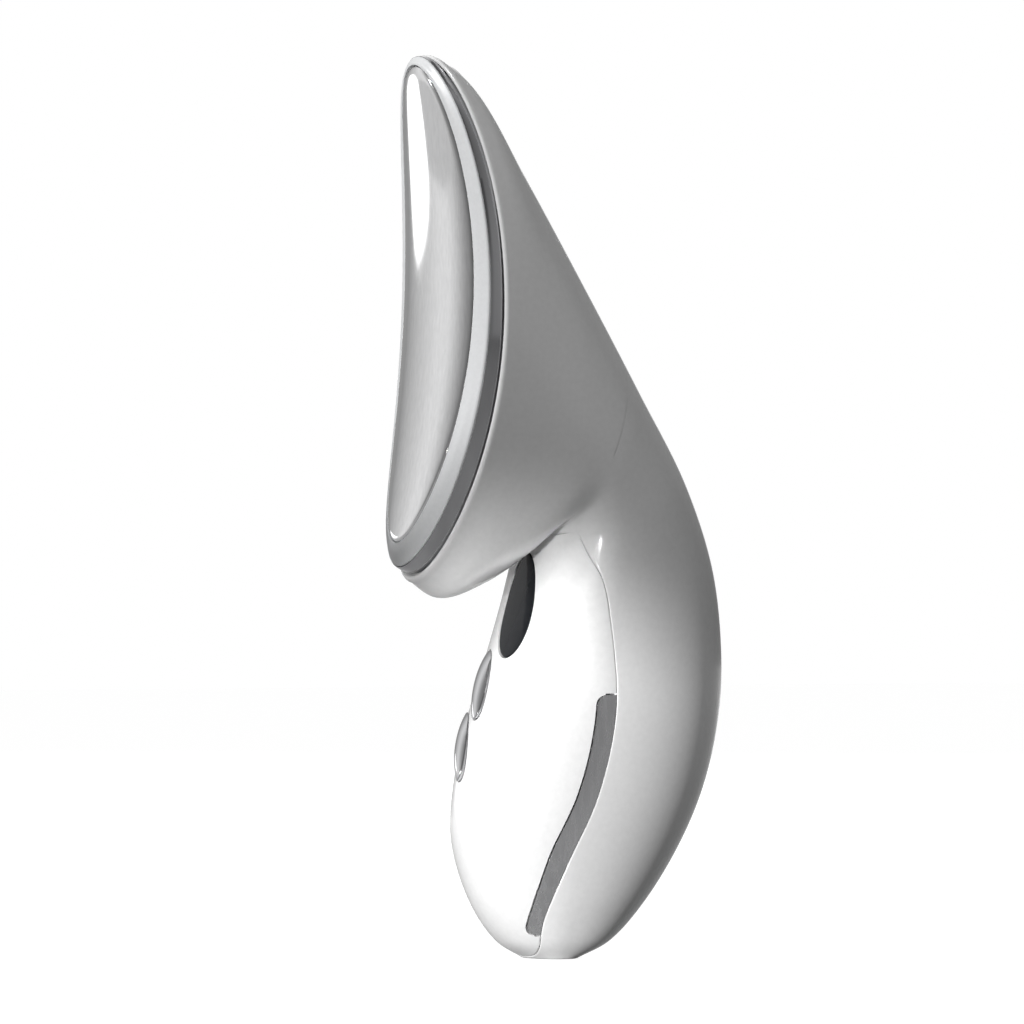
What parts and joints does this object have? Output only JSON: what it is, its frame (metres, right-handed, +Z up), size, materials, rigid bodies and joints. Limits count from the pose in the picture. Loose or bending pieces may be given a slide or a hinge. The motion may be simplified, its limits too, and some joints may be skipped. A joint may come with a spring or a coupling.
{
  "type": "microcurrent neck beauty device",
  "caption": "Handheld microcurrent neck device: leaf-shaped metal plate in a light ring and chrome bezel, on a curved white grip with side electrode strips, display window and push buttons.",
  "frame": {"origin": "under the middle of the whole device's footprint, level with the small flat at the end of its foot", "axes": "+Z up the device to the tip of the head, -Y out of the treated side where the plate is, X across the width"},
  "size_m": [0.0424, 0.0662, 0.1683],
  "materials": {
    "white_shell": "gloss",
    "chrome_trim": "mirror",
    "satin_chrome": "satin",
    "light_guide": "frosted",
    "dark_lens": "gloss",
    "inner_plastic": "matte",
    "dark_plastic": "matte",
    "circuit_board": "satin",
    "steel": "satin",
    "brass": "satin",
    "heater_film": "satin",
    "battery_wrap": "satin"
  },
  "bodies": {
    "handset": {"rear_shell": "white_shell", "front_cover": "white_shell", "head_bezel": "chrome_trim", "light_ring": "light_guide", "treatment_plate": "satin_chrome", "heater_pad": "heater_film", "led_board": "circuit_board", "plate_carrier": "inner_plastic", "carrier_screw_1": "steel", "carrier_screw_2": "steel", "carrier_screw_3": "steel", "carrier_screw_4": "steel", "vibration_motor": "steel", "motor_cradle": "dark_plastic", "display_window": "dark_lens", "display_module": "dark_plastic", "power_switch": "dark_plastic", "mode_switch": "dark_plastic", "side_electrode_right": "chrome_trim", "side_electrode_left": "chrome_trim", "electrode_contact_right": "brass", "electrode_contact_left": "brass", "main_board": "circuit_board", "board_screw_1": "steel", "board_screw_2": "steel", "board_screw_3": "steel", "board_screw_4": "steel", "battery": "battery_wrap", "battery_cradle": "dark_plastic", "charging_socket": "steel", "socket_tongue": "dark_plastic", "socket_board": "circuit_board", "socket_screw_right": "steel", "socket_screw_left": "steel"},
    "power_key": {"power_button": "chrome_trim", "power_plunger": "inner_plastic"},
    "mode_key": {"mode_button": "chrome_trim", "mode_plunger": "inner_plastic"},
    "vibration_rotor": {"motor_shaft": "steel", "motor_weight": "brass"}
  },
  "joints": [
    {"name": "power_button_press", "type": "slide", "parent": "handset", "child": "power_key", "axis": [0, 1, 0], "range_m": [0, 0.0005], "stiffness_N_per_m": 1500},
    {"name": "mode_button_press", "type": "slide", "parent": "handset", "child": "mode_key", "axis": [0, 1, 0], "range_m": [0, 0.0005], "stiffness_N_per_m": 1500},
    {"name": "vibration_spin", "type": "hinge", "parent": "handset", "child": "vibration_rotor", "pos_m": [0, -0.00937, 0.122], "axis": [0, 0, 1], "continuous": true}
  ]
}
